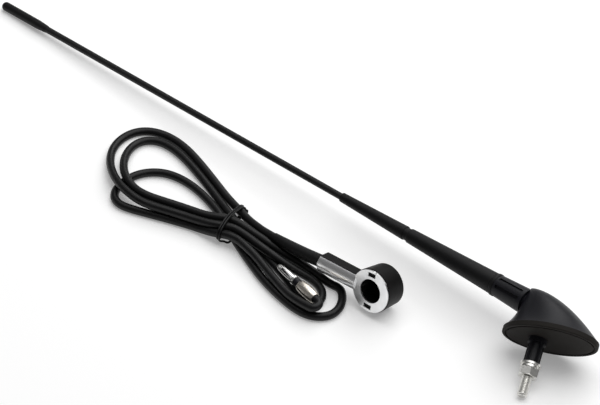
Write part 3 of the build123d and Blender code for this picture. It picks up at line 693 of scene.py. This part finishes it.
# PVC sheath: satin black with a soft gloss, with a ripple of 1.2 mm from the die and dull rubs of 6 mm.
pvc, shader = start_material("pvc_sheath", {"IOR": 1.53, "Specular IOR Level": 0.25})
spot = add_node(pvc, "ShaderNodeTexCoord")
rubs = add_node(
    pvc, "ShaderNodeTexNoise", [("Vector", spot, "Object")], [("Scale", 1 / 0.006), ("Detail", 5.0)]
)
ripple = add_node(
    pvc, "ShaderNodeTexNoise", [("Vector", spot, "Object")], [("Scale", 1 / 0.0012), ("Detail", 2.0)]
)
finish_material(
    pvc,
    shader,
    rubs,
    tones=("#070708", "#101011"),
    roughness=(0.34, 0.52),
    texture=(ripple, "Fac"),
    strength=0.2,
    depth=0.0001,
)
dress(pvc, "cable_lead", "cable_hank", "cable_tail")
cable.data.materials.append(pvc)
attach(cable, "base")
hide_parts("cable_lead", "cable_hank", "cable_tail")

# Boot: a soft rubber sleeve over the cable where it leaves the foot, bent by the cable's own weight. It is
# moulded with a taper, so that the cable bends gently out of its thin end.
BOOT_DIAMETER = 0.0076
BOOT_TAPER = [1.0, 1.0, 1.0, 0.95, 0.84, 0.72]
BOOT_ROUTE = [
    (-0.1337, -0.0321, 0.0130), (-0.1404, -0.0326, 0.0121), (-0.1480, -0.0330, 0.0112),
    (-0.1557, -0.0331, 0.0104), (-0.1635, -0.0329, 0.0097), (-0.1700, -0.0325, 0.0091),
]


def set_shape(cord):
    """The cord as a mesh of its own, which no longer bends."""
    pick(cord)
    bpy.ops.object.convert(target="MESH")
    return bpy.context.object


sleeve = lay_round("lead_boot", BOOT_ROUTE, BOOT_DIAMETER)
for point, share in zip(sleeve.data.splines[0].points, BOOT_TAPER):
    point.radius = share
boot = set_shape(sleeve)
dress(rubber, "cable_boot")
boot.data.materials.append(rubber)
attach(boot, "base")
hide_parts("cable_boot")

# Tie: a thin black cord, wound twice round the middle of the hank and knotted on its far side. One bight of
# it stands out as a loop on the near side.
TIE_DIAMETER = 0.0013
TIE_ROUTE = [
    (-0.2004, -0.0232, 0.0048), (-0.2020, -0.0226, 0.0038), (-0.2041, -0.0217, 0.0028),
    (-0.2057, -0.0227, 0.0019), (-0.2061, -0.0236, 0.0034), (-0.2047, -0.0226, 0.0046),
    (-0.2034, -0.0213, 0.0032), (-0.2035, -0.0225, 0.0016), (-0.2046, -0.0241, 0.0006),
    (-0.2022, -0.0333, 0.0006), (-0.1999, -0.0418, 0.0006), (-0.1975, -0.0507, 0.0024),
    (-0.1969, -0.0530, 0.0062), (-0.1975, -0.0509, 0.0098), (-0.1991, -0.0447, 0.0118),
    (-0.2008, -0.0384, 0.0120), (-0.2028, -0.0307, 0.0094), (-0.2047, -0.0236, 0.0072),
    (-0.2044, -0.0221, 0.0039), (-0.2032, -0.0237, 0.0006), (-0.2008, -0.0329, 0.0006),
    (-0.1986, -0.0414, 0.0006), (-0.1955, -0.0417, 0.0006), (-0.1929, -0.0450, 0.0006),
    (-0.1928, -0.0478, 0.0006), (-0.1958, -0.0482, 0.0006), (-0.1959, -0.0515, 0.0026),
    (-0.1956, -0.0526, 0.0062), (-0.1961, -0.0506, 0.0098), (-0.1978, -0.0443, 0.0118),
    (-0.1994, -0.0380, 0.0120), (-0.2015, -0.0304, 0.0094), (-0.2034, -0.0232, 0.0072),
    (-0.2048, -0.0229, 0.0044), (-0.2047, -0.0218, 0.0026), (-0.2027, -0.0221, 0.0018),
    (-0.2012, -0.0223, 0.0026),
]
tie = set_shape(lay_round("hank_tie", TIE_ROUTE, TIE_DIAMETER))
dress(pvc, "cable_tie")
tie.data.materials.append(pvc)
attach(tie, "base")
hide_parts("cable_tie")

# Floor: a plain white studio sheet. It is lit a little to the camera and in reflections, so that it shows as
# white and keeps the shadows on it.
FLOOR_SIDE = 8
FLOOR_LIFT = 0.25
bpy.ops.object.select_all(action="DESELECT")
bpy.ops.mesh.primitive_plane_add(size=FLOOR_SIDE)
floor = bpy.context.object
floor.name = "floor"
paper, shader = start_material(
    "white_paper",
    {
        "Base Color": linear("#f2f2f2"),
        "Roughness": 1.0,
        "Specular IOR Level": 0.0,
        "Emission Color": linear("#ffffff"),
    },
)
ray = add_node(paper, "ShaderNodeLightPath")
mirrored = add_node(
    paper, "ShaderNodeMath", [(0, ray, "Is Camera Ray"), (1, ray, "Is Glossy Ray")], operation="MAXIMUM"
)
seen = add_node(
    paper, "ShaderNodeMath", [(0, mirrored, 0), (1, ray, "Is Transmission Ray")], operation="MAXIMUM"
)
lift = add_node(paper, "ShaderNodeMath", [(0, seen, 0)], [(1, FLOOR_LIFT)], operation="MULTIPLY")
paper.node_tree.links.new(lift.outputs[0], shader.inputs["Emission Strength"])
floor.data.materials.append(paper)

# Studio light: a white room, a wide soft box overhead and towards the back, and a small one further off at
# the back left, which draws the highlight along the housing's hood.
ROOM_STRENGTH = 0.15
world = bpy.data.worlds.new("white_room")
bpy.context.scene.world = world
world.use_nodes = True
background = world.node_tree.nodes["Background"]
background.inputs["Color"].default_value = linear("#ffffff")
background.inputs["Strength"].default_value = ROOM_STRENGTH


def hang_lamp(name, place, target, size, power):
    """A square soft box at a place, turned to a target."""
    bpy.ops.object.light_add(type="AREA", location=place)
    lamp = bpy.context.object
    lamp.name = name
    lamp.data.size = size
    lamp.data.energy = power
    lamp.rotation_euler = (Vector(target) - Vector(place)).to_track_quat("-Z", "Y").to_euler()


hang_lamp("overhead_box", place=(0.1, 0.75, 1.6), target=(0.05, 0.0, 0.0), size=2.4, power=39.0)
hang_lamp("back_box", place=(-0.86, 1.73, 1.27), target=(0.2, 0.0, 0.0), size=0.9, power=4.0)

# Camera: a long lens, looking down on the lying antenna from the front right, with the housing nearest. Its
# place and its turn are solved from the points that the antenna rests on.
CAMERA_PLACE = (1.0765, -1.1359, 1.4209)
LENS = 216.0
SENSOR_WIDTH = 36.0
CLIP_END = 20.0
right = Vector((0.7355, 0.6775, 0.0010)).normalized()
back = Vector((0.5007, -0.5444, 0.6730)).normalized()
up = back.cross(right)
bpy.ops.object.camera_add()
camera = bpy.context.object
camera.data.lens = LENS
camera.data.sensor_fit = "HORIZONTAL"
camera.data.sensor_width = SENSOR_WIDTH
camera.data.clip_end = CLIP_END
facing = Matrix((right, up, back)).transposed().to_4x4()
camera.matrix_world = Matrix.Translation(CAMERA_PLACE) @ facing
bpy.context.scene.camera = camera
bpy.context.scene.view_settings.view_transform = "Standard"
